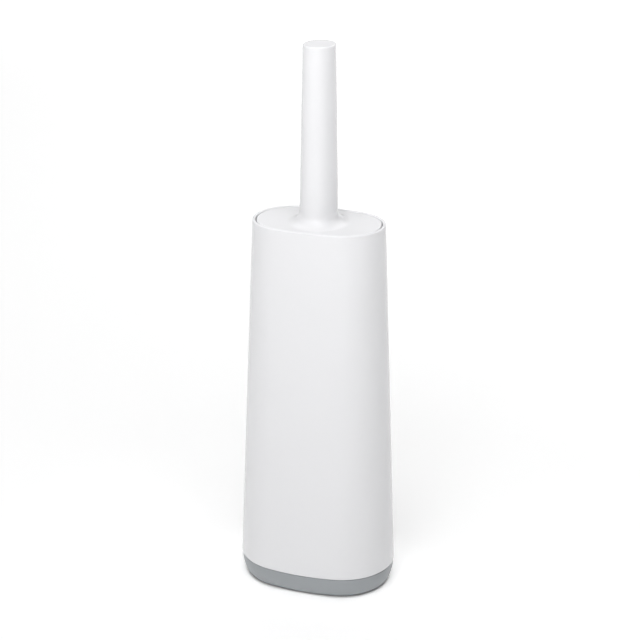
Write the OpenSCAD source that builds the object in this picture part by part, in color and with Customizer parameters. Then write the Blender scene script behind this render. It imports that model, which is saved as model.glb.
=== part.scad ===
// Toilet brush with a tall tapered oval holder.
// The brush hangs by its own lid in the mouth of the holder.
// Frame: +Z up, -Y is the wide front face, origin on the floor under the middle of the holder.

/* [Holder] */
// Height of the holder's rim above the floor
rim_z = 296; // [270:1:310]
// Height of the joint between shell and base tray
seam_z = 17.5; // [15:0.5:20]
// End radius of the oval at the joint
seam_r = 42.1; // [40:0.1:45]
// End radius of the oval at the rim
rim_r = 31.15; // [30:0.05:33]
// Spread of the oval's arc centres, larger is longer
oval_unit = 1.8; // [1.6:0.1:1.9]
// Thickness of the shell wall
shell_wall = 2.4; // [2:0.1:2.6]
// Inward reach of the ledge that carries the lid
ledge_reach = 2.1; // [1.8:0.1:2.4]
// Distance from the rim down to the ledge's top
ledge_drop = 3.6; // [3.4:0.1:4]

/* [Base tray] */
// Radius of the curve that draws the skirt in towards the floor
skirt_curve = 36; // [30:1:50]
// Step of the skirt inside the shell's face
skirt_step = 0.4; // [0.2:0.1:0.8]
// Gap between floor and the tray's foot, filled by the non-slip ring
foot_gap = 0.8; // [0.6:0.1:1.2]
// Height of the cup's floor above the room's floor
cup_floor_z = 5.5; // [5:0.5:7]
// Height of the top of the cup wall inside the shell
cup_top_z = 58; // [45:1:70]
// Thickness of the cup wall
cup_wall = 1.8; // [1.5:0.1:2.2]
// Gap between cup wall and shell
cup_gap = 0.3; // [0.3:0.05:0.4]
// Number of drain ribs across the cup's floor
rib_count = 5; // [3:2:7]
// Height of the drain ribs
rib_height = 3; // [2:0.5:3]

/* [Lid and handle] */
// Height of the top of the handle
top_z = 430; // [400:1:460]
// End radius of the handle's oval at its top
grip_top_r = 11; // [10:0.1:11.5]
// Growth of the handle's radius for each millimetre down
grip_taper = 0.0176; // [0.015:0.0002:0.019]
// Spread of the handle oval's arc centres
grip_unit = 0.95; // [0.8:0.05:1]
// Wall of the hollow handle
grip_wall = 2.4; // [2.2:0.1:2.6]
// Radius of the sweep from handle to lid
lid_fillet = 10; // [8:0.5:11]
// End radius of the lid's oval
lid_r = 28.4; // [28.2:0.1:28.4]
// Thickness of the lid
lid_thick = 2.9; // [2.7:0.1:3]
// Drop of the lid's face below the rim
lid_drop = 0.4; // [0.2:0.1:0.6]
// Depth of the air slot cut into the lid's edge at each end
vent_width = 0.5; // [0.4:0.1:1]
// Half of the angle that each air slot spans
vent_angle = 26; // [25:1:50]

/* [Stem] */
// Radius of the stem
stem_r = 6; // [5.5:0.1:6.2]
// Radius of the stem's bore
stem_bore_r = 4.05; // [3.8:0.05:4.2]
// Height of the stem's lower end
stem_low_z = 126; // [126:1:132]
// Number of grip ridges on the collar
ridge_count = 12; // [8:2:16]

/* [Brush head] */
// Half of the paddle's width
pad_half = 30; // [28:1:31]
// Height of the paddle's lowest point
pad_low_z = 24; // [24:1:26]
// Height of the paddle's top edge
pad_top_z = 108; // [106:1:108]
// Thickness of the paddle
pad_thick = 7; // [6:0.5:8]
// Distance between neighbouring bristles
bristle_pitch = 9; // [8:0.5:12]
// Length of the bristles on the two faces
face_bristle = 17; // [12:0.5:17]
// Length of the bristles round the edge
edge_bristle = 10.5; // [8:0.5:10.5]
// Radius of a bristle at its root
bristle_root_r = 1.5; // [1.2:0.1:1.7]
// Radius of a bristle at its tip
bristle_tip_r = 0.7; // [0.5:0.1:0.9]

/* [Hidden] */
$fn = 96;

white = [0.93, 0.93, 0.94];
grey = [0.55, 0.57, 0.58];
soft_grey = [0.42, 0.44, 0.46];
steel = [0.75, 0.75, 0.77];

far = 300;       // beyond every part
fan = 12;        // reach of the fans, in steps of the oval's own triangle
tall = 600;      // taller than every part
clear = 0.05;    // fit of a shaft in its bore

// An oval of four tangent arcs: [end centre x, side centre y, distance between the two].
// 11-60-61 and 3-4-5 are right triangles, so the arcs meet exactly.
body_oval = [11 * oval_unit, 60 * oval_unit, 61 * oval_unit];
grip_oval = [3 * grip_unit, 4 * grip_unit, 5 * grip_unit];

taper = (seam_r - rim_r) / (rim_z - seam_z);
rim_bead = shell_wall / 2;
ledge_z = rim_z - ledge_drop;
lid_top = rim_z - lid_drop;
lid_low = lid_top - lid_thick;
plate_top = lid_low - 0.1;
plate_thick = 2.4;
plate_low = plate_top - plate_thick;
plate_r = rim_r - shell_wall - ledge_reach - 1.2;
boss_r = grip_top_r - 0.7;
boss_top = plate_top + 29;
stem_top = boss_top - 4;
pin_z = stem_top - 10;
pin_r = 1.5;
screw_xy = 12.5;
screw_r = 1.15;
screw_head_r = 2.9;
collar_low = stem_low_z - 5.4;
collar_top = stem_low_z + 16;
flange_r = stem_r + 1.9;
neck_low = pad_top_z + 0.1;
neck_top = stem_low_z - 3.9;
neck_r = stem_r + 0.2;
pad_mid_z = pad_low_z + pad_half;
corner_r = 14;
corner_x = pad_half - corner_r;
corner_z = pad_top_z - corner_r;
skin = 0.8;
band = 1.6;

// Offset of the shell's face from the seam radius at a given height
function face_in(z) = -taper * (z - seam_z);

// Offset of the handle's face from its top radius at a given height
function grip_out(z) = grip_taper * (top_z - z);

module wedge(points) {
  translate([0, 0, -50])
    linear_extrude(height = tall)
      polygon(points);
}

module right_of_axis() {
  intersection() {
    children();
    translate([0, -50])
      square([far, tall]);
  }
}

// Carries a profile round an oval. The profile's x is measured outwards from end radius r.
// The oval is cut into four fans along the lines where its arcs meet, one revolve in each.
module oval_sweep(oval, r) {
  ex = oval[0];
  sy = oval[1];
  join_x = (1 + fan) * ex;
  join_y = fan * sy;
  for (turn = [0, 180])
    rotate([0, 0, turn]) {
      intersection() {
        wedge([[ex, 0], [join_x, -join_y], [far, -join_y], [far, join_y], [join_x, join_y]]);
        translate([ex, 0, 0])
          rotate_extrude()
            right_of_axis()
              translate([r, 0])
                children();
      }
      intersection() {
        wedge([[-ex, 0], [ex, 0], [join_x, -join_y], [-join_x, -join_y]]);
        translate([0, sy, 0])
          rotate_extrude()
            right_of_axis()
              translate([r + oval[2], 0])
                children();
      }
    }
}

// As oval_sweep, for the handle, whose oval has its long way along Y
module grip_sweep(r) {
  rotate([0, 0, 90])
    oval_sweep(grip_oval, r)
      children();
}

// Inside or outside of the cup wall, sloping with the shell
module cup_line(inset, low, high) {
  polygon([
    [-60, low], [face_in(low) - inset, low],
    [face_in(high) - inset, high], [-60, high]
  ]);
}

module tray_profile() {
  inner = shell_wall + cup_gap + cup_wall;
  corner = 5;
  difference() {
    union() {
      intersection() {
        translate([-skirt_step - skirt_curve, seam_z - 0.2])
          circle(r = skirt_curve);
        translate([-60, foot_gap])
          square([60, seam_z - 0.2 - foot_gap]);
      }
      cup_line(shell_wall + cup_gap, seam_z - 4, cup_top_z);
    }
    difference() {
      cup_line(inner, cup_floor_z, cup_top_z + 1);
      difference() {
        translate([face_in(cup_floor_z) - inner - corner, cup_floor_z - 1])
          square([corner + 2, corner + 1]);
        translate([face_in(cup_floor_z) - inner - corner, cup_floor_z + corner])
          circle(r = corner);
      }
    }
    translate([-60, foot_gap - 1])
      square([47, 3.2]);
    translate([-10.55, foot_gap - 1])
      square([4.1, 2.6]);
    polygon([[-6, foot_gap - 0.01], [-2.6, foot_gap - 0.01], [-2.6, foot_gap + 2.4]]);
  }
}

module base_tray() {
  rib_step = 60 / (rib_count - 1);
  color(grey) {
    oval_sweep(body_oval, seam_r)
      tray_profile();
    for (i = [0:rib_count - 1])
      translate([i * rib_step - 30.8, -24, cup_floor_z - 1])
        cube([1.6, 48, rib_height + 1]);
  }
}

module non_slip_ring() {
  color(soft_grey)
    oval_sweep(body_oval, seam_r)
      translate([-10.5, 0])
        square([4, foot_gap + 1.5]);
}

module shell_profile() {
  bead_z = rim_z - rim_bead;
  polygon([
    [0, seam_z],
    [face_in(bead_z), bead_z],
    [face_in(bead_z) - shell_wall, bead_z],
    [face_in(seam_z + 1) - shell_wall, seam_z + 1],
    [-shell_wall + 0.5, seam_z]
  ]);
  translate([face_in(bead_z) - rim_bead, bead_z])
    circle(r = rim_bead);
}

module ledge_profile() {
  wall_in = face_in(ledge_z) - shell_wall;
  polygon([
    [wall_in + 0.8, ledge_z],
    [wall_in - ledge_reach, ledge_z],
    [wall_in - ledge_reach, ledge_z - 1.5],
    [wall_in + 0.8, ledge_z - 4.4]
  ]);
}

module outer_shell() {
  color(white) {
    oval_sweep(body_oval, seam_r)
      shell_profile();
    difference() {
      oval_sweep(body_oval, seam_r)
        ledge_profile();
      for (side = [-1, 1])
        translate([side * 50 - 12, -10, ledge_z - 8])
          cube([24, 20, 12]);
    }
  }
}

module lid_profile() {
  round_r = 0.7;
  translate([-60, lid_low])
    square([60, lid_thick - round_r]);
  translate([-60, lid_low])
    square([60 - round_r, lid_thick]);
  translate([-round_r, lid_top - round_r])
    circle(r = round_r);
}

// Cuts the air slot at the lid's right end and rounds the edge that it leaves
module vent_cut() {
  round_r = 0.7;
  edge = lid_r - vent_width;
  translate([body_oval[0], 0, 0])
    rotate([0, 0, -vent_angle])
      rotate_extrude(angle = 2 * vent_angle) {
        translate([edge, lid_low - 1])
          square([vent_width + 3, lid_thick + 3]);
        difference() {
          translate([edge - round_r, lid_top - round_r])
            square([round_r + 0.1, round_r + 1]);
          translate([edge - round_r, lid_top - round_r])
            circle(r = round_r);
        }
      }
}

module grip_profile() {
  round_r = 1;
  foot = grip_out(lid_top + lid_fillet);
  polygon([
    [-30, lid_low + 0.5], [grip_out(lid_low + 0.5), lid_low + 0.5],
    [0, top_z - round_r], [-round_r, top_z], [-30, top_z]
  ]);
  translate([-round_r, top_z - round_r])
    circle(r = round_r);
  difference() {
    translate([foot - 2, lid_low + 0.5])
      square([lid_fillet + 1.8, lid_fillet + lid_thick - 0.8]);
    translate([foot + lid_fillet, lid_top + lid_fillet - 0.06])
      circle(r = lid_fillet);
  }
}

module handle() {
  bore_top = top_z - 4;
  color(white)
    difference() {
      union() {
        oval_sweep(body_oval, lid_r)
          lid_profile();
        grip_sweep(grip_top_r)
          grip_profile();
      }
      for (turn = [0, 180])
        rotate([0, 0, turn])
          vent_cut();
      grip_sweep(grip_top_r)
        polygon([
          [-30, lid_low - 1], [grip_out(lid_low - 1) - grip_wall, lid_low - 1],
          [grip_out(bore_top) - grip_wall, bore_top], [-30, bore_top]
        ]);
      for (x = [-screw_xy, screw_xy])
        for (y = [-screw_xy, screw_xy])
          translate([x, y, lid_low - 1])
            cylinder(r = screw_r + clear, h = 5.5);
    }
}

module lid_underplate() {
  color(grey)
    difference() {
      union() {
        oval_sweep(body_oval, plate_r)
          translate([-60, plate_low])
            square([60, plate_thick]);
        grip_sweep(boss_r)
          translate([-30, plate_top - 1])
            square([30, boss_top - plate_top + 1]);
      }
      translate([0, 0, plate_low - 1])
        cylinder(r = stem_r + clear, h = stem_top + clear - plate_low + 1);
      translate([-20, 0, pin_z])
        rotate([0, 90, 0])
          cylinder(r = pin_r + clear, h = 40);
      for (x = [-screw_xy, screw_xy])
        for (y = [-screw_xy, screw_xy])
          translate([x, y, plate_low - 1]) {
            cylinder(r = screw_r + 0.4, h = plate_thick + 2);
            cylinder(r = screw_head_r + 0.2, h = 2.25);
          }
    }
}

module underplate_screws() {
  head_low = plate_low + 0.05;
  head_thick = 1.15;
  color(steel)
    for (x = [-screw_xy, screw_xy])
      for (y = [-screw_xy, screw_xy])
        translate([x, y, head_low])
          difference() {
            union() {
              cylinder(r = screw_head_r, h = head_thick);
              cylinder(r = screw_r, h = 6.4);
            }
            for (turn = [0, 90])
              rotate([0, 0, turn])
                translate([-1.6, -0.35, -1])
                  cube([3.2, 0.7, 1.7]);
          }
}

module stem() {
  color(grey)
    difference() {
      translate([0, 0, stem_low_z])
        cylinder(r = stem_r, h = stem_top - stem_low_z);
      translate([0, 0, stem_low_z - 1])
        cylinder(r = stem_bore_r, h = pin_z - 12 - stem_low_z);
      translate([-20, 0, pin_z])
        rotate([0, 90, 0])
          cylinder(r = pin_r + clear, h = 40);
    }
}

module stem_pin() {
  color(steel)
    translate([-boss_r - 0.4, 0, pin_z])
      rotate([0, 90, 0])
        cylinder(r = pin_r, h = 2 * boss_r + 0.8);
}

// Fixed half of the head's joint: a flange under the stem with a spigot up its bore
module head_plug() {
  color(grey) {
    translate([0, 0, stem_low_z - 3.8])
      cylinder(r = flange_r, h = 3.7);
    translate([0, 0, stem_low_z - 1])
      cylinder(r = stem_bore_r - clear, h = 23);
    translate([0, 0, stem_low_z + 22])
      cylinder(r1 = stem_bore_r - clear, r2 = stem_bore_r - 1, h = 3);
  }
}

module head_collar() {
  outer_r = flange_r + 1.7;
  color(grey)
    difference() {
      union() {
        translate([0, 0, collar_low])
          cylinder(r = outer_r, h = collar_top - collar_low - 3);
        translate([0, 0, collar_top - 3])
          cylinder(r1 = outer_r, r2 = stem_r + 1.2, h = 3);
        for (i = [0:ridge_count - 1])
          rotate([0, 0, i * 360 / ridge_count])
            translate([outer_r - 1, -0.8, collar_low + 1.5])
              cube([1.6, 1.6, collar_top - collar_low - 7]);
      }
      translate([0, 0, collar_low - 1])
        cylinder(r = neck_r + 0.3, h = 3);
      translate([0, 0, collar_low + 1.5])
        cylinder(r = flange_r + clear, h = stem_low_z - collar_low - 1.45);
      translate([0, 0, stem_low_z - 1])
        cylinder(r = stem_r + clear, h = 30);
    }
}

// Waisted soft neck that lets the head bend forwards and back
module flex_neck() {
  waist = 1.5;
  rise = neck_top - neck_low;
  color(soft_grey)
    difference() {
      union() {
        translate([0, 0, neck_low])
          cylinder(r = neck_r, h = rise);
        translate([0, 0, neck_low])
          cylinder(r1 = neck_r + 2.6, r2 = neck_r, h = 3);
      }
      for (z = [neck_low + 5.2, neck_low + 9.4])
        translate([0, 0, z])
          rotate_extrude()
            translate([neck_r + 0.3, 0])
              circle(r = waist);
      translate([-4.2, -1.4, neck_low - 1])
        cube([8.4, 2.8, 4.2]);
    }
}

// Paddle outline in width and height, grown outwards by an amount
module pad_outline(grow) {
  translate([0, pad_mid_z])
    circle(r = pad_half + grow);
  translate([-pad_half - grow, pad_mid_z])
    square([2 * (pad_half + grow), corner_z - pad_mid_z]);
  for (side = [-1, 1])
    translate([side * corner_x, corner_z])
      circle(r = corner_r + grow);
  translate([-corner_x, corner_z - 1])
    square([2 * corner_x, corner_r + grow + 1]);
}

// Outline of the stiff insert: a smaller paddle with keying holes and a tongue into the neck
module spine_outline(grow) {
  difference() {
    union() {
      pad_outline(grow - 8);
      translate([-4 - grow, pad_top_z - 12])
        square([8 + 2 * grow, 15 + grow]);
    }
    for (z = [pad_mid_z - 14, pad_mid_z + 6, pad_mid_z + 26])
      translate([0, z])
        circle(r = 5 - grow);
  }
}

// Stands a flat outline upright, centred on the plane of the head
module upright(thick) {
  rotate([90, 0, 0])
    translate([0, 0, -thick / 2])
      linear_extrude(height = thick)
        children();
}

module head_spine() {
  color(grey)
    upright(2.4)
      spine_outline(0);
}

module head_pad() {
  color(soft_grey)
    difference() {
      upright(pad_thick)
        pad_outline(0);
      upright(2.5)
        spine_outline(clear);
    }
}

function on_paddle(x, z) =
  z >= pad_mid_z
    ? abs(x) < pad_half - 4
    : norm([x, z - pad_mid_z]) < pad_half - 4;

// Bristles on the front face, standing on a thin skin
module face_bristles() {
  skin_y = pad_thick / 2 + clear;
  columns = floor((pad_half - 4) / bristle_pitch - 0.5);
  color(soft_grey) {
    translate([0, -skin_y - skin / 2, 0])
      upright(skin)
        pad_outline(-1.5);
    for (i = [-columns - 1:columns])
      for (z = [pad_low_z + 7.5:bristle_pitch:pad_top_z - 8]) {
        x = (i + 0.5) * bristle_pitch;
        if (on_paddle(x, z))
          translate([x, -skin_y - skin / 2, z])
            rotate([90, 0, 0])
              cylinder(r1 = bristle_root_r, r2 = bristle_tip_r, h = face_bristle + skin / 2);
      }
  }
}

module bristles_front() {
  face_bristles();
}

module bristles_back() {
  mirror([0, 1, 0])
    face_bristles();
}

// One bristle standing on the edge band, leaning away from the paddle by an angle
module edge_spike(x, z, angle) {
  translate([x, 0, z])
    rotate([0, 90 - angle, 0])
      cylinder(r1 = bristle_root_r, r2 = bristle_tip_r, h = edge_bristle + band / 2);
}

module bristles_edge() {
  root = pad_half + band / 2;
  corner_root = corner_r + band / 2;
  side_rise = corner_z - pad_mid_z;
  color(soft_grey) {
    difference() {
      upright(pad_thick - 1)
        difference() {
          pad_outline(band + clear);
          pad_outline(clear);
        }
      translate([-11, -10, pad_top_z - 1])
        cube([22, 20, 10]);
    }
    for (angle = [190:20:350])
      edge_spike(root * cos(angle), pad_mid_z + root * sin(angle), angle);
    for (side = [-1, 1]) {
      for (step = [0.1:0.3:1])
        edge_spike(side * root, pad_mid_z + step * side_rise, 90 - side * 90);
      for (lean = [30, 62])
        edge_spike(
          side * (corner_x + corner_root * cos(lean)),
          corner_z + corner_root * sin(lean),
          side > 0 ? lean : 180 - lean
        );
    }
  }
}

base_tray();
non_slip_ring();
outer_shell();
handle();
lid_underplate();
underplate_screws();
stem();
stem_pin();
head_plug();
head_collar();
flex_neck();
head_spine();
head_pad();
bristles_front();
bristles_back();
bristles_edge();
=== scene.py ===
"""Toilet brush in a tall oval holder: looks, light and camera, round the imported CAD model."""

import math

import bmesh
import bpy
from mathutils import Matrix, Quaternion, Vector


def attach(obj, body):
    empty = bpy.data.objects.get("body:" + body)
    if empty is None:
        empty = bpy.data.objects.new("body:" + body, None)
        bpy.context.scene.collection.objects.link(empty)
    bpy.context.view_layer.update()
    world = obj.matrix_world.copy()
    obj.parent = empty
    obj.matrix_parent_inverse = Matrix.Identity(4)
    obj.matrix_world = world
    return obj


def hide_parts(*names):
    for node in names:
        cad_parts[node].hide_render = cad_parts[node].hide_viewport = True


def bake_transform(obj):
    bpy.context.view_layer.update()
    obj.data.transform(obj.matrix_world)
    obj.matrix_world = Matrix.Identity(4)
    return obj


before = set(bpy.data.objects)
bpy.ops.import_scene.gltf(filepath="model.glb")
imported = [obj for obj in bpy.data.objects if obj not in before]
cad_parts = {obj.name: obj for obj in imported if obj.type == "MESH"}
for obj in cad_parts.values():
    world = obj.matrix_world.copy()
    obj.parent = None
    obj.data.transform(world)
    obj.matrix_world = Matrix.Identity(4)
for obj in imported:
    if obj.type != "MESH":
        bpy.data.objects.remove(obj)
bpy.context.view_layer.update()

MM = 0.001
SHARP_EDGE = 38  # degrees between two faces, above which their edge isn't smoothed

# ---------------------------------------------------------------- sizes in millimetres, as in the CAD
RIM_Z, SEAM_Z, TOP_Z = 296.0, 17.5, 430.0
SEAM_R, RIM_R = 42.1, 31.15
WALL = 2.4
TAPER = (SEAM_R - RIM_R) / (RIM_Z - SEAM_Z)
BODY_OVAL = (19.8, 108.0)
GRIP_OVAL = (2.85, 3.8)
GRIP_R, GRIP_TAPER, GRIP_WALL = 11.0, 0.0176, 2.4
LID_R, LID_TOP, LID_LOW = 28.4, 295.6, 292.7
LID_FILLET = 10.0
VENT_WIDTH, VENT_ANGLE = 0.5, math.radians(26)
LEDGE_Z, LEDGE_REACH = 292.4, 2.1
PAD_HALF, PAD_LOW, PAD_TOP, PAD_THICK = 30.0, 24.0, 108.0, 7.0
PAD_MID = PAD_LOW + PAD_HALF
CORNER_R = 14.0
NECK_LOW, NECK_TOP, NECK_R = 108.1, 122.1, 6.2
COLLAR_LOW, COLLAR_TOP, COLLAR_R = 120.6, 142.0, 9.6
STEM_R, STEM_LOW, STEM_TOP = 6.0, 126.0, 317.6


def face_in(z):
    return -TAPER * (z - SEAM_Z)


def grip_out(z):
    return GRIP_TAPER * (TOP_Z - z)


# ---------------------------------------------------------------- ovals made of four tangent arcs
def oval_at(shape, r, t):
    """The point whose outward normal points at angle t."""
    ex, sy = shape
    reach = math.hypot(ex, sy)
    c, s = math.cos(t), math.sin(t)
    if abs(s) >= sy / reach:
        return ((r + reach) * c, (r + reach) * s - math.copysign(sy, s))
    return (math.copysign(ex, c) + r * c, r * s)


def body_at(r, t):
    return oval_at(BODY_OVAL, r, t)


def grip_at(r, t):
    x, y = oval_at(GRIP_OVAL, r, t - math.pi / 2)
    return (-y, x)


def round_angles(ends=104, sides=36):
    """Normal angles round the body's oval, with enough of them on its long, nearly flat sides."""
    phi = math.atan2(*BODY_OVAL)
    out = []
    for middle, half, count in (
        (0, math.pi / 2 - phi, ends),
        (math.pi / 2, phi, sides),
        (math.pi, math.pi / 2 - phi, ends),
        (1.5 * math.pi, phi, sides),
    ):
        out += [middle - half + 2 * half * i / count for i in range(count)]
    return out


ROUND = round_angles()


# ---------------------------------------------------------------- mesh helpers
def arc(cx, cz, r, start, end, steps):
    """Points on an arc in a profile, angles in degrees."""
    out = []
    for i in range(steps + 1):
        a = math.radians(start + (end - start) * i / steps)
        out.append((cx + r * math.cos(a), cz + r * math.sin(a)))
    return out


def line(p, q, steps):
    """Points from p to q, without the ends."""
    return [
        (p[0] + (q[0] - p[0]) * i / steps, p[1] + (q[1] - p[1]) * i / steps)
        for i in range(1, steps)
    ]


def loft(bm, loops, closed=False, cap_first=False, cap_last=False):
    """Skins a list of point loops. closed joins the last loop to the first."""
    rows = [[bm.verts.new(Vector(p) * MM) for p in loop] for loop in loops]
    pairs = list(zip(rows, rows[1:]))
    if closed:
        pairs.append((rows[-1], rows[0]))
    for a, b in pairs:
        n = len(a)
        for i in range(n):
            j = (i + 1) % n
            bm.faces.new((a[i], a[j], b[j], b[i]))
    if cap_first:
        bm.faces.new(rows[0])
    if cap_last:
        bm.faces.new(rows[-1])
    return rows


def body_loop(offset, z):
    return [(*body_at(SEAM_R + offset, t), z) for t in ROUND]


def grip_loop(offset, z):
    return [(*grip_at(GRIP_R + offset, t), z) for t in ROUND]


def circle_loop(r, z, n):
    return [(r * math.cos(2 * math.pi * i / n), r * math.sin(2 * math.pi * i / n), z) for i in range(n)]


def lathe(bm, profile, n):
    loft(bm, [circle_loop(r, z, n) for r, z in profile], cap_first=True, cap_last=True)


def finish_mesh(name, bm, material, body, nodes):
    """Turns a bmesh into a named piece that stands for CAD nodes and, given a body, rides on it."""
    bmesh.ops.recalc_face_normals(bm, faces=bm.faces)
    for face in bm.faces:
        face.smooth = True
    limit = math.radians(SHARP_EDGE)
    for edge in bm.edges:
        edge.smooth = not (edge.is_manifold and edge.calc_face_angle(0) > limit)
    mesh = bpy.data.meshes.new(name)
    bm.to_mesh(mesh)
    bm.free()
    piece = bpy.data.objects.new(name, mesh)
    bpy.context.scene.collection.objects.link(piece)
    piece.data.materials.append(material)
    if body:
        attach(piece, body)
    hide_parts(*nodes)
    return piece


# ---------------------------------------------------------------- materials
def new_material(name):
    material = bpy.data.materials.new(name)
    material.use_nodes = True
    tree = material.node_tree
    shader = tree.nodes["Principled BSDF"]
    return material, tree, shader


def add(tree, kind, inputs=None, **settings):
    node = tree.nodes.new(kind)
    for key, value in settings.items():
        setattr(node, key, value)
    for key, value in (inputs or {}).items():
        node.inputs[key].default_value = value
    return node


def moulded(name, colour, shade, rough, grain, grain_depth, wave_depth=0.0, spec=0.5, scuff=0.0):
    """Moulded plastic: drifting tone, uneven gloss, fine skin grain, slow sink waves and faint scuffs."""
    material, tree, shader = new_material(name)
    link = tree.links.new
    where = add(tree, "ShaderNodeTexCoord").outputs["Object"]

    drift = add(tree, "ShaderNodeTexNoise", {"Scale": 9.0, "Detail": 3.0, "Roughness": 0.5})
    link(where, drift.inputs["Vector"])
    fleck = add(tree, "ShaderNodeTexNoise", {"Scale": 420.0, "Detail": 2.0, "Roughness": 0.6})
    link(where, fleck.inputs["Vector"])
    blend = add(tree, "ShaderNodeMath", {1: 0.75}, operation="MULTIPLY")
    link(drift.outputs["Fac"], blend.inputs[0])
    both = add(tree, "ShaderNodeMath", {1: 0.25}, operation="MULTIPLY_ADD")
    link(fleck.outputs["Fac"], both.inputs[0])
    link(blend.outputs[0], both.inputs[2])
    tone = add(tree, "ShaderNodeValToRGB")
    tone.color_ramp.elements[0].position, tone.color_ramp.elements[0].color = 0.15, (*shade, 1)
    tone.color_ramp.elements[1].position, tone.color_ramp.elements[1].color = 0.85, (*colour, 1)
    link(both.outputs[0], tone.inputs["Fac"])
    link(tone.outputs["Color"], shader.inputs["Base Color"])

    gloss = add(tree, "ShaderNodeMapRange",
                {"From Min": 0.2, "From Max": 0.8, "To Min": rough[0], "To Max": rough[1]})
    patch = add(tree, "ShaderNodeTexNoise", {"Scale": 60.0, "Detail": 4.0, "Roughness": 0.5})
    link(where, patch.inputs["Vector"])
    link(patch.outputs["Fac"], gloss.inputs["Value"])
    rough_out = gloss.outputs["Result"]
    if scuff:
        stretch = add(tree, "ShaderNodeMapping", {"Scale": (1.0, 1.0, 0.12)})
        link(where, stretch.inputs["Vector"])
        marks = add(tree, "ShaderNodeTexNoise", {"Scale": 900.0, "Detail": 2.0, "Roughness": 0.4})
        link(stretch.outputs["Vector"], marks.inputs["Vector"])
        pick = add(tree, "ShaderNodeMapRange",
                   {"From Min": 0.62, "From Max": 0.72, "To Min": 0.0, "To Max": scuff})
        link(marks.outputs["Fac"], pick.inputs["Value"])
        total = add(tree, "ShaderNodeMath", operation="ADD")
        link(rough_out, total.inputs[0])
        link(pick.outputs["Result"], total.inputs[1])
        rough_out = total.outputs[0]
    link(rough_out, shader.inputs["Roughness"])

    skin = add(tree, "ShaderNodeTexNoise", {"Scale": grain, "Detail": 4.0, "Roughness": 0.55})
    link(where, skin.inputs["Vector"])
    bump = add(tree, "ShaderNodeBump", {"Strength": 1.0, "Distance": grain_depth})
    link(skin.outputs["Fac"], bump.inputs["Height"])
    if wave_depth:
        wave = add(tree, "ShaderNodeTexNoise", {"Scale": 32.0, "Detail": 1.0})
        link(where, wave.inputs["Vector"])
        slow = add(tree, "ShaderNodeBump", {"Strength": 1.0, "Distance": wave_depth})
        link(wave.outputs["Fac"], slow.inputs["Height"])
        link(slow.outputs["Normal"], bump.inputs["Normal"])
    link(bump.outputs["Normal"], shader.inputs["Normal"])

    shader.inputs["Specular IOR Level"].default_value = spec
    return material


white_gloss = moulded(
    "white_gloss_plastic", (0.80, 0.80, 0.815), (0.785, 0.785, 0.80),
    (0.19, 0.25), 2600.0, 0.000006, wave_depth=0.00002, scuff=0.02,
)
grey_satin = moulded(
    "grey_satin_plastic", (0.338, 0.357, 0.372), (0.312, 0.33, 0.345),
    (0.40, 0.50), 3400.0, 0.00002, scuff=0.1,
)
grey_inner = moulded(
    "grey_inner_plastic", (0.31, 0.325, 0.34), (0.28, 0.295, 0.31),
    (0.30, 0.42), 2600.0, 0.00001, wave_depth=0.00002,
)
soft_head = moulded(
    "soft_head_rubber", (0.20, 0.215, 0.23), (0.17, 0.183, 0.196),
    (0.52, 0.66), 2200.0, 0.00004, spec=0.4,
)
soft_bristle = moulded(
    "soft_bristle_rubber", (0.31, 0.33, 0.35), (0.27, 0.288, 0.306),
    (0.46, 0.58), 2200.0, 0.00004, spec=0.4,
)
soft_foot = moulded(
    "soft_foot_rubber", (0.075, 0.078, 0.082), (0.055, 0.058, 0.062),
    (0.66, 0.82), 1800.0, 0.00006, spec=0.35,
)


def steel_material():
    """Zinc-plated steel: blotchy tone and gloss, fine grain."""
    material, tree, shader = new_material("plated_steel")
    link = tree.links.new
    where = add(tree, "ShaderNodeTexCoord").outputs["Object"]
    cloud = add(tree, "ShaderNodeTexNoise", {"Scale": 300.0, "Detail": 4.0, "Roughness": 0.6})
    link(where, cloud.inputs["Vector"])
    tone = add(tree, "ShaderNodeValToRGB")
    tone.color_ramp.elements[0].position, tone.color_ramp.elements[0].color = 0.3, (0.50, 0.51, 0.53, 1)
    tone.color_ramp.elements[1].position, tone.color_ramp.elements[1].color = 0.7, (0.66, 0.66, 0.67, 1)
    link(cloud.outputs["Fac"], tone.inputs["Fac"])
    link(tone.outputs["Color"], shader.inputs["Base Color"])
    gloss = add(tree, "ShaderNodeMapRange",
                {"From Min": 0.3, "From Max": 0.7, "To Min": 0.29, "To Max": 0.44})
    link(cloud.outputs["Fac"], gloss.inputs["Value"])
    link(gloss.outputs["Result"], shader.inputs["Roughness"])
    fine = add(tree, "ShaderNodeTexNoise", {"Scale": 5000.0, "Detail": 2.0})
    link(where, fine.inputs["Vector"])
    bump = add(tree, "ShaderNodeBump", {"Strength": 1.0, "Distance": 0.00001})
    link(fine.outputs["Fac"], bump.inputs["Height"])
    link(bump.outputs["Normal"], shader.inputs["Normal"])
    shader.inputs["Metallic"].default_value = 1.0
    return material


steel = steel_material()


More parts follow.
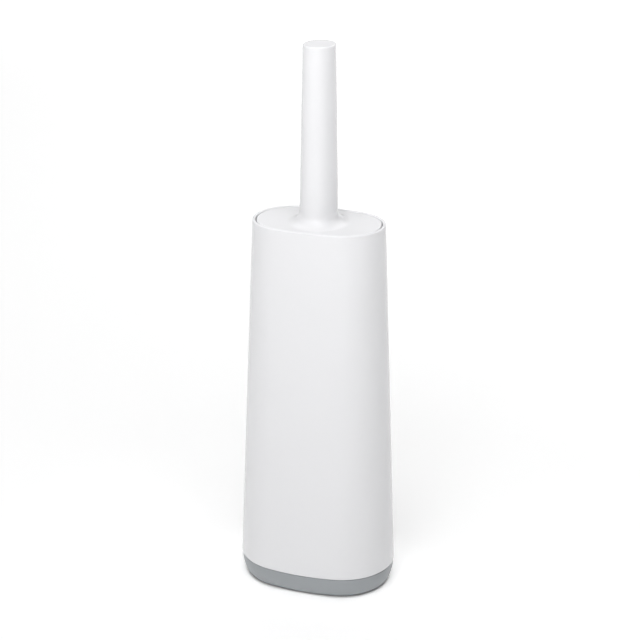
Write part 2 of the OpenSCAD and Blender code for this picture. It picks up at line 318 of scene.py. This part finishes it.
# ---------------------------------------------------------------- holder
def make_shell():
    bm = bmesh.new()
    bead = WALL / 2
    bead_z = RIM_Z - bead
    corner = 0.35
    profile = arc(-corner, SEAM_Z + corner, corner, -90, 0, 4)
    profile += line((0, SEAM_Z + corner), (face_in(bead_z), bead_z), 26)
    profile += arc(face_in(bead_z) - bead, bead_z, bead, 0, 180, 14)
    profile += line((face_in(bead_z) - WALL, bead_z), (face_in(SEAM_Z + 1) - WALL, SEAM_Z + 1), 12)
    profile += [(face_in(SEAM_Z + 1) - WALL, SEAM_Z + 1), (-WALL + 0.5, SEAM_Z)]
    loft(bm, [body_loop(o, z) for o, z in profile], closed=True)

    wall_in = face_in(LEDGE_Z) - WALL
    tip = wall_in - LEDGE_REACH
    edge = [
        (wall_in + 0.6, LEDGE_Z), (tip + 0.3, LEDGE_Z), (tip, LEDGE_Z - 0.3),
        (tip, LEDGE_Z - 1.3), (tip + 0.2, LEDGE_Z - 1.75), (wall_in + 0.6, LEDGE_Z - 4.1),
    ]
    notch = math.asin(10 / (SEAM_R + wall_in))
    for first in (notch, math.pi + notch):
        span = math.pi - 2 * notch
        steps = 120
        loops = []
        for i in range(steps + 1):
            t = first + span * i / steps
            loops.append([(*body_at(SEAM_R + o, t), z) for o, z in edge])
        loft(bm, loops, cap_first=True, cap_last=True)
    return finish_mesh("shell", bm, white_gloss, "shell", ["outer_shell"])


def make_tray():
    bm = bmesh.new()
    top = SEAM_Z - 0.2
    cup = 58.0
    inner = WALL + 0.3 + 1.8
    deep = 5.5
    reach = 36.0
    centre = -0.4 - reach

    def skirt(z):
        return centre + math.sqrt(reach ** 2 - (z - top) ** 2)

    def cup_out(z):
        return face_in(z) - WALL - 0.3

    profile = [(-30, 3.0)]
    profile += arc(-13.6, 2.4, 0.6, 90, 0, 3)
    profile += arc(-12.7, 1.1, 0.3, 180, 270, 3)
    profile += arc(-10.75, 1.0, 0.2, -90, 0, 2)
    profile += [(-10.55, 2.4), (-6.45, 2.4)]
    profile += arc(-6.25, 1.0, 0.2, 180, 270, 2)
    # the skirt, then a fine shadow groove under the shell
    low, ledge, corner = 2.3, top - 0.35, 0.25
    profile += arc(skirt(0.8) - 1.35, low, 1.5, -90, -22, 8)
    profile += [(skirt(z), z) for z in [low + (ledge - corner - low) * i / 22 for i in range(1, 23)]]
    profile += arc(skirt(top) - corner, ledge - corner, corner, 15, 90, 4)
    profile += [(-0.9, ledge), (-0.95, ledge + 0.05), (-0.95, top - 0.05), (-1.0, top)]
    profile += arc(cup_out(top) + 0.4, top + 0.4, 0.4, 270, 180, 4)
    profile += line((cup_out(top), top + 0.4), (cup_out(cup - 0.8), cup - 0.8), 8)
    mid = cup_out(cup) - 0.9
    profile += arc(mid, cup - 0.9, 0.9, 0, 180, 10)
    profile += line((mid - 0.9, cup - 0.9), (face_in(12) - inner, 12), 8)
    floor_r = 5.0
    floor_c = face_in(deep) - inner - floor_r
    profile += arc(floor_c, deep + floor_r, floor_r, 0, -90, 12)
    profile += line((floor_c, deep), (-30, deep), 3)
    profile += [(-30, deep)]
    loft(bm, [body_loop(o, z) for o, z in profile], cap_first=True, cap_last=True)

    # drain ribs
    for i in range(5):
        x = -30 + 15 * i
        loops = []
        for grow, z in (
            (0.35, 5.2), (0.12, 5.6), (0.0, 6.0), (0.0, 7.8), (-0.12, 8.2), (-0.4, 8.45), (-0.7, 8.5),
        ):
            r = 0.8 + grow
            loop = []
            for turn, y in ((0, 23.2), (180, -23.2)):
                for k in range(9):
                    a = math.radians(turn + 180 * k / 8)
                    loop.append((x + r * math.cos(a), y + r * math.sin(a), z))
            loops.append(loop)
        loft(bm, loops, cap_first=True, cap_last=True)
    return finish_mesh("base_tray_skin", bm, grey_satin, "base", ["base_tray"])


def make_ring():
    bm = bmesh.new()
    r = 0.5
    profile = arc(-10.5 + r, r, r, 180, 270, 4) + arc(-6.5 - r, r, r, 270, 360, 4)
    profile += arc(-6.5 - r, 2.3 - r, r, 0, 90, 4) + arc(-10.5 + r, 2.3 - r, r, 90, 180, 4)
    loft(bm, [body_loop(o, z) for o, z in profile], closed=True)
    return finish_mesh("foot_ring", bm, soft_foot, "base", ["non_slip_ring"])


# ---------------------------------------------------------------- handle and lid
def vent_inset(t):
    """How far the lid's edge steps in for the air slots, with rounded slot ends."""
    away = abs((t + math.pi / 2) % math.pi - math.pi / 2)
    soft = math.radians(24)
    share = (VENT_ANGLE + soft / 2 - away) / soft
    share = min(1.0, max(0.0, share))
    return VENT_WIDTH * share * share * (3 - 2 * share)


def lid_loop(offset, z):
    return [(*body_at(LID_R + offset - vent_inset(t), t), z) for t in ROUND]


def between(a, b, share):
    return [tuple(p + (q - p) * share for p, q in zip(u, v)) for u, v in zip(a, b)]


def make_handle():
    bm = bmesh.new()
    edge = 1.0
    lid_edge = 0.7
    loops = [grip_loop(-9, TOP_Z), grip_loop(-3, TOP_Z), grip_loop(-1.6, TOP_Z)]
    loops += [grip_loop(o, z) for o, z in arc(-edge, TOP_Z - edge, edge, 90, 0, 8)]
    fillet_z = LID_TOP + LID_FILLET
    foot = grip_out(fillet_z)
    sides = [TOP_Z - 3 - (TOP_Z - 3 - fillet_z) * i / 22 for i in range(22)]
    loops += [grip_loop(grip_out(z), z) for z in sides]
    loops += [grip_loop(o, z) for o, z in arc(foot + LID_FILLET, fillet_z, LID_FILLET, 180, 270, 18)]
    outer = lid_loop(-lid_edge - 0.6, LID_TOP)
    last = loops[-1]
    loops += [between(last, outer, s) for s in (0.04, 0.12, 0.3, 0.5, 0.7, 0.88)]
    loops.append(outer)
    loops += [lid_loop(o, z) for o, z in arc(-lid_edge, LID_TOP - lid_edge, lid_edge, 90, 0, 8)]
    loops += [lid_loop(o, z) for o, z in arc(-0.3, LID_LOW + 0.3, 0.3, 0, -90, 3)]
    under = lid_loop(-3, LID_LOW)
    bore = grip_loop(grip_out(LID_LOW) - GRIP_WALL, LID_LOW)
    loops += [under, between(under, bore, 0.5), bore]
    bore_z = (LID_LOW + 0.4, 340, 400, TOP_Z - 4.5, TOP_Z - 4)
    loops += [grip_loop(grip_out(z) - GRIP_WALL, z) for z in bore_z]
    loft(bm, loops, cap_first=True, cap_last=True)
    return finish_mesh("handle_and_lid", bm, white_gloss, "brush", ["handle"])


# ---------------------------------------------------------------- stem, collar, neck
def make_stem():
    bm = bmesh.new()
    low, top = STEM_LOW, STEM_TOP
    lathe(bm, [(4.05, low + 60), (4.05, low), (STEM_R - 0.4, low), (STEM_R, low + 0.4)]
          + [(STEM_R, low + 0.4 + (top - low - 1.2) * i / 10) for i in range(1, 11)]
          + [(STEM_R - 0.6, top)], n=72)
    for turn in (0, 180):
        a = math.radians(turn)
        loops = []
        for z in (146, 147, 200, 250, 288, 289):
            rise = 0.0 if z in (146, 289) else 0.12
            root, half = STEM_R - 0.15, 0.28
            loops.append([
                (root * math.cos(a), -half, z), ((STEM_R + rise) * math.cos(a), -half * 0.4, z),
                ((STEM_R + rise) * math.cos(a), half * 0.4, z), (root * math.cos(a), half, z),
            ])
        loft(bm, loops, cap_first=True, cap_last=True)
    return finish_mesh("stem_tube", bm, grey_inner, "brush", ["stem"])


def make_collar():
    bm = bmesh.new()
    low, top, r = COLLAR_LOW, COLLAR_TOP, COLLAR_R
    hole = NECK_R + 0.3
    profile = arc(hole + 0.3, low + 0.3, 0.3, 180, 270, 3)
    profile += arc(r - 0.5, low + 0.5, 0.5, 270, 360, 4)
    profile += [(r, low + 6), (r, top - 3.6)] + arc(r - 0.9, top - 3.6, 0.9, 0, 40, 3)
    profile += [(STEM_R + 1.4, top - 0.5)] + arc(STEM_R + 1.0, top - 0.4, 0.4, 30, 90, 3)
    profile += [(STEM_R + 0.05, top), (STEM_R + 0.05, STEM_LOW + 0.05), (7.95, STEM_LOW + 0.05)]
    profile += [(7.95, low + 1.5), (hole, low + 1.5)]
    loft(bm, [circle_loop(a, z, 96) for a, z in profile], closed=True)
    for i in range(12):
        spin = Matrix.Rotation(2 * math.pi * i / 12, 4, "Z")
        loops = []
        for z, out, half in (
            (low + 1.5, -0.2, 0.3), (low + 2.0, 0.35, 0.6), (low + 3.0, 0.6, 0.75),
            (top - 7.5, 0.6, 0.75), (top - 6.3, 0.35, 0.6), (top - 5.5, -0.2, 0.3),
        ):
            loop = [(r - 0.5, -half, z), (r + out * 0.7, -half, z), (r + out, -half * 0.6, z),
                    (r + out, half * 0.6, z), (r + out * 0.7, half, z), (r - 0.5, half, z)]
            loops.append([tuple(spin @ Vector(p)) for p in loop])
        loft(bm, loops, cap_first=True, cap_last=True)
    return finish_mesh("collar_ring", bm, grey_inner, "brush", ["head_collar"])


def make_neck():
    bm = bmesh.new()
    low, top, r = NECK_LOW, NECK_TOP, NECK_R
    waist = 1.5
    profile = [
        (r + 2.2, low - 0.05), (r + 2.6, low + 0.3), (r + 2.45, low + 0.7),
        (r + 1.4, low + 1.5), (r + 0.4, low + 2.6),
    ]
    for z in (low + 5.2, low + 9.4):
        profile.append((r - 0.05, z - waist - 0.35))
        for a in range(20, 161, 14):
            turn = math.radians(a)
            profile.append((r + 0.3 - waist * math.sin(turn), z - waist * math.cos(turn)))
        profile.append((r - 0.05, z + waist + 0.35))
    profile += [(r, top - 0.4), (r - 0.3, top)]
    lathe(bm, profile, n=56)
    piece = finish_mesh("neck_bellows", bm, soft_head, None, ["flex_neck"])
    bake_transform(piece)
    return piece


# ---------------------------------------------------------------- brush head
def pad_path(grow):
    """The paddle's outline in width and height, clockwise from the left of the round lower end."""
    out = []
    r = PAD_HALF + grow
    for i in range(60):
        a = math.pi + math.pi * i / 60
        out.append((r * math.cos(a), PAD_MID + r * math.sin(a)))
    for i in range(10):
        out.append((r, PAD_MID + (PAD_TOP - CORNER_R - PAD_MID) * i / 10))
    c = CORNER_R + grow
    cx, cz = PAD_HALF - CORNER_R, PAD_TOP - CORNER_R
    for i in range(20):
        a = math.pi / 2 * i / 20
        out.append((cx + c * math.cos(a), cz + c * math.sin(a)))
    for i in range(12):
        out.append((cx - 2 * cx * i / 12, cz + c))
    for i in range(20):
        a = math.pi / 2 + math.pi / 2 * i / 20
        out.append((-cx + c * math.cos(a), cz + c * math.sin(a)))
    for i in range(10):
        out.append((-r, PAD_TOP - CORNER_R + (PAD_MID - PAD_TOP + CORNER_R) * i / 10))
    return out


def pad_loop(grow, y):
    return [(x, y, z) for x, z in pad_path(grow)]


def make_pad():
    bm = bmesh.new()
    half = PAD_THICK / 2
    r = 1.4
    loops = []
    for a in range(0, 91, 15):
        loops.append((r * math.sin(math.radians(a)) - r, -half + r - r * math.cos(math.radians(a))))
    mirrored = [(g, -y) for g, y in reversed(loops)]
    loops = [(-5.0, -half)] + loops + mirrored + [(-5.0, half)]
    loft(bm, [pad_loop(g, y) for g, y in loops], cap_first=True, cap_last=True)
    return finish_mesh("paddle", bm, soft_head, "head", ["head_pad"])


def spike(bm, root, way, length, r0=1.5, r1=0.7, n=12):
    """A soft bristle: flared root, slow taper, rounded tip."""
    way = Vector(way).normalized()
    side = way.orthogonal().normalized()
    other = way.cross(side)
    slope = (r0 - r1) / length
    rings = [(-0.3, r0 + 0.9), (0.15, r0 + 0.5), (0.6, r0 + 0.15), (1.3, r0 - slope)]
    rings += [(length * s, r0 - slope * length * s) for s in (0.35, 0.7)]
    rings += [(length - 0.6, r1), (length - 0.25, r1 * 0.82), (length - 0.05, r1 * 0.42)]
    loops = []
    for along, r in rings:
        loops.append([
            tuple(Vector(root) + way * along + side * r * math.cos(2 * math.pi * i / n)
                  + other * r * math.sin(2 * math.pi * i / n))
            for i in range(n)
        ])
    loft(bm, loops, cap_first=True, cap_last=True)


def make_face(name, node, sign):
    bm = bmesh.new()
    low = PAD_THICK / 2 + 0.05
    loops = [
        (-6, low), (-1.5, low), (-1.5, low + 0.45),
        (-1.62, low + 0.68), (-1.9, low + 0.8), (-6, low + 0.8),
    ]
    loft(bm, [pad_loop(g, sign * y) for g, y in loops], cap_first=True, cap_last=True)
    for row in range(9):
        z = PAD_LOW + 7.5 + 9 * row
        if z > PAD_TOP - 8:
            break
        for column in range(-3, 3):
            x = 9 * (column + 0.5)
            inside = abs(x) < 26 if z >= PAD_MID else math.hypot(x, z - PAD_MID) < 26
            if inside:
                spike(bm, (x, sign * (low + 0.8), z), (0, sign, 0), 16.6)
    return finish_mesh(name, bm, soft_bristle, "head", [node])


def make_edge():
    bm = bmesh.new()
    outer, inner, half = 1.65, 0.05, 3.0
    path = [pad_path(inner), pad_path(inner + 0.8), pad_path(outer)]
    n = len(path[0])
    keep = [i for i in range(n) if not (path[0][i][1] > PAD_TOP - 0.5 and abs(path[0][i][0]) < 11)]
    start = next(i for i in keep if (i - 1) % n not in keep)
    order = [(start + k) % n for k in range(len(keep))]
    section = [(0, -half), (1, -half), (2, -half + 0.8), (2, half - 0.8), (1, half), (0, half)]
    loops = [[(path[p][i][0], y, path[p][i][1]) for p, y in section] for i in order]
    loft(bm, loops, cap_first=True, cap_last=True)
    root = PAD_HALF + outer
    for a in range(190, 351, 20):
        c, s = math.cos(math.radians(a)), math.sin(math.radians(a))
        spike(bm, (root * c, 0, PAD_MID + root * s), (c, 0, s), 10.4)
    rise = PAD_TOP - CORNER_R - PAD_MID
    for side in (-1, 1):
        for step in (0.1, 0.4, 0.7, 1.0):
            spike(bm, (side * root, 0, PAD_MID + step * rise), (side, 0, 0), 10.4)
        for lean in (30, 62):
            c, s = side * math.cos(math.radians(lean)), math.sin(math.radians(lean))
            reach = CORNER_R + outer
            x = side * (PAD_HALF - CORNER_R) + reach * c
            spike(bm, (x, 0, PAD_TOP - CORNER_R + reach * s), (c, 0, s), 10.4)
    return finish_mesh("edge_bristles", bm, soft_bristle, "head", ["bristles_edge"])


make_shell()
make_tray()
make_ring()
make_handle()
make_stem()
make_collar()
make_neck()
make_pad()
make_face("front_bristles", "bristles_front", -1)
make_face("back_bristles", "bristles_back", 1)
make_edge()

for node, material in (
    ("lid_underplate", grey_inner),
    ("underplate_screws", steel),
    ("stem_pin", steel),
    ("head_plug", grey_inner),
    ("head_spine", grey_inner),
):
    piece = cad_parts[node]
    piece.data.materials.clear()
    piece.data.materials.append(material)

# ---------------------------------------------------------------- floor
FLOOR_HALF = 30.0
GLOW_END = 3.6
# distance from the object in metres, and how strongly the floor glows there
GLOW_STEPS = ((0.3, 0.12), (0.8, 0.245), (2.2, 0.575), (GLOW_END, 1.0))
# the foot's outline is everything within FOOT_R of a line that runs FOOT_ARM to each side
# the last three set where the floor's glow stops for a painted contact shadow, and how far out and how
# strongly it paints light into the object's shadow
FOOT_ARM, FOOT_R, GLOW_START, PAINTED_FILL_END, PAINTED_FILL_STRENGTH = 0.018, 0.0392, 0.0412, 0.085, 2.3

floor_mesh = bpy.data.meshes.new("floor")
floor_corners = [(FLOOR_HALF * x, FLOOR_HALF * y, 0) for x, y in ((-1, -1), (1, -1), (1, 1), (-1, 1))]
floor_mesh.from_pydata(floor_corners, [], [(0, 1, 2, 3)])
floor = bpy.data.objects.new("floor", floor_mesh)
bpy.context.scene.collection.objects.link(floor)
floor_paint, floor_tree, floor_shader = new_material("pale_floor")
floor_link = floor_tree.links.new
floor_shader.inputs["Base Color"].default_value = (0.95, 0.95, 0.95, 1)
floor_shader.inputs["Roughness"].default_value = 0.7
floor_shader.inputs["Specular IOR Level"].default_value = 0.2
floor_shader.inputs["Emission Color"].default_value = (1, 1, 1, 1)
place = add(floor_tree, "ShaderNodeTexCoord").outputs["Object"]
from_centre = add(floor_tree, "ShaderNodeVectorMath", operation="LENGTH")
floor_link(place, from_centre.inputs[0])
reach = add(floor_tree, "ShaderNodeMath", {1: 1 / GLOW_END}, operation="MULTIPLY")
floor_link(from_centre.outputs["Value"], reach.inputs[0])
glow = add(floor_tree, "ShaderNodeValToRGB")
for away, _ in GLOW_STEPS[1:-1]:
    glow.color_ramp.elements.new(away / GLOW_END)
for stop, (away, level) in zip(glow.color_ramp.elements, GLOW_STEPS):
    stop.position, stop.color = away / GLOW_END, (level, level, level, 1)
floor_link(reach.outputs[0], glow.inputs["Fac"])
# distance from the line inside the foot
step = place
for operation, by in (("ABSOLUTE", 0), ("SUBTRACT", FOOT_ARM), ("MAXIMUM", 0), ("LENGTH", 0)):
    node = add(floor_tree, "ShaderNodeVectorMath", operation=operation)
    floor_link(step, node.inputs[0])
    node.inputs[1].default_value = (by, 0, 0)
    step = node.outputs["Value" if operation == "LENGTH" else "Vector"]
# the glow stops just short of the foot: a painted contact shadow, a fine dark line where the two meet
painted_contact_shadow = add(floor_tree, "ShaderNodeMapRange", {"From Min": FOOT_R, "From Max": GLOW_START})
floor_link(step, painted_contact_shadow.inputs["Value"])
# and it is stronger close by: painted light that fills the shadow where the object keeps the lamps' light
# off the floor
painted_shadow_fill = add(floor_tree, "ShaderNodeMapRange",
           {"From Min": GLOW_START, "From Max": PAINTED_FILL_END, "To Min": PAINTED_FILL_STRENGTH, "To Max": 1.0})
floor_link(step, painted_shadow_fill.inputs["Value"])
# the painted contact shadow times the painted shadow fill, the floor's painted light round the foot
painted_near_foot = add(floor_tree, "ShaderNodeMath", operation="MULTIPLY")
floor_link(painted_contact_shadow.outputs["Result"], painted_near_foot.inputs[0])
floor_link(painted_shadow_fill.outputs["Result"], painted_near_foot.inputs[1])
strength = add(floor_tree, "ShaderNodeMath", operation="MULTIPLY")
floor_link(glow.outputs["Color"], strength.inputs[0])
floor_link(painted_near_foot.outputs[0], strength.inputs[1])
floor_link(strength.outputs[0], floor_shader.inputs["Emission Strength"])
floor_mesh.materials.append(floor_paint)

# ---------------------------------------------------------------- light
world = bpy.data.worlds.new("studio")
bpy.context.scene.world = world
world.use_nodes = True
sky_link = world.node_tree.links.new
fill = world.node_tree.nodes["Background"]
fill.inputs["Color"].default_value = (1, 1, 1, 1)
fill.inputs["Strength"].default_value = 0.02
backdrop = add(world.node_tree, "ShaderNodeBackground", {"Color": (1, 1, 1, 1), "Strength": 1.0})
seen = add(world.node_tree, "ShaderNodeMixShader")
sky_link(add(world.node_tree, "ShaderNodeLightPath").outputs["Is Camera Ray"], seen.inputs["Fac"])
sky_link(fill.outputs["Background"], seen.inputs[1])
sky_link(backdrop.outputs["Background"], seen.inputs[2])
sky_link(seen.outputs["Shader"], world.node_tree.nodes["World Output"].inputs["Surface"])


def softbox(name, azimuth, elevation, distance, size, watts, aim):
    """A rectangular soft light turned to a point. Azimuth 0 is in front, 90 is to the right."""
    data = bpy.data.lights.new(name, "AREA")
    data.shape = "RECTANGLE"
    data.size, data.size_y = size
    data.energy = watts
    lamp = bpy.data.objects.new(name, data)
    a, e = math.radians(azimuth), math.radians(elevation)
    back = Vector((math.sin(a) * math.cos(e), -math.cos(a) * math.cos(e), math.sin(e)))
    lamp.location = Vector(aim) + back * distance
    lamp.rotation_mode = "QUATERNION"
    lamp.rotation_quaternion = back.to_track_quat("Z", "Y")
    lamp.visible_camera = False
    lamp.visible_glossy = name != "front_wide"
    bpy.context.scene.collection.objects.link(lamp)


STANDING, CLOSE = (0.9, 2.0), (0.45, 0.45)
for name, azimuth, elevation, distance, size, watts, aim in (
    ("front_panel", -5, 0, 2.5, STANDING, 2.3, (0, 0, 1.0)),
    ("front_wide", 0, 60, 2.4, (3.0, 1.5), 17.0, (0, 0, 0.2)),
    ("front_low", 0, 12, 1.6, (1.6, 0.6), 2.3, (0, 0, 0.1)),
    ("left_panel", -75, 20, 2.4, (2.0, 2.0), 3.2, (0, 0, 0.5)),
    ("close_left", -25, 35, 0.95, CLOSE, 0.75, (0, 0, 0.4)),
    ("close_front", 10, 35, 0.95, CLOSE, 2.7, (0, 0, 0.4)),
    ("close_right", 45, 35, 0.95, CLOSE, 1.0, (0, 0, 0.4)),
    ("close_side", 80, 35, 0.95, CLOSE, 0.25, (0, 0, 0.4)),
    ("close_top", 20, 75, 0.9, (0.6, 0.6), 2.9, (0, 0, 0.4)),
    ("rear_sweep", 198, 0, 2.5, (6.0, 2.4), 21.5, (0, 0, 1.2)),
    ("rear_left", -130, 55, 1.5, (1.0, 1.0), 4.3, (0, 0, 0.3)),
    ("rear_floor", 0, 90, 1.5, (2.0, 2.0), 16.5, (0.5, 1.5, 0)),
):
    softbox(name, azimuth, elevation, distance, size, watts, aim)

# ---------------------------------------------------------------- camera
AZIMUTH, ELEVATION, ROLL = math.radians(18.529), math.radians(21.454), math.radians(0.204)
DISTANCE, AIM_Z, SIDE_STEP = 1.387, 0.216125, 0.001093
SENSOR, FOCAL_PIXELS, IMAGE_PIXELS = 36.0, 1818.0, 640.0
back = Vector((
    math.sin(AZIMUTH) * math.cos(ELEVATION),
    -math.cos(AZIMUTH) * math.cos(ELEVATION),
    math.sin(ELEVATION),
))
right = Vector((math.cos(AZIMUTH), math.sin(AZIMUTH), 0))
up = back.cross(right)
lens = bpy.data.cameras.new("camera")
lens.sensor_width = SENSOR
lens.lens = SENSOR * FOCAL_PIXELS / IMAGE_PIXELS
lens.clip_start, lens.clip_end = 0.05, 100.0
camera = bpy.data.objects.new("camera", lens)
camera.location = Vector((0, 0, AIM_Z)) + right * SIDE_STEP + back * DISTANCE
turn = Matrix((right, up, back)).transposed().to_quaternion()
camera.rotation_mode = "QUATERNION"
camera.rotation_quaternion = turn @ Quaternion((0, 0, 1), ROLL)
bpy.context.scene.collection.objects.link(camera)
bpy.context.scene.camera = camera

bpy.context.scene.view_settings.view_transform = "Standard"
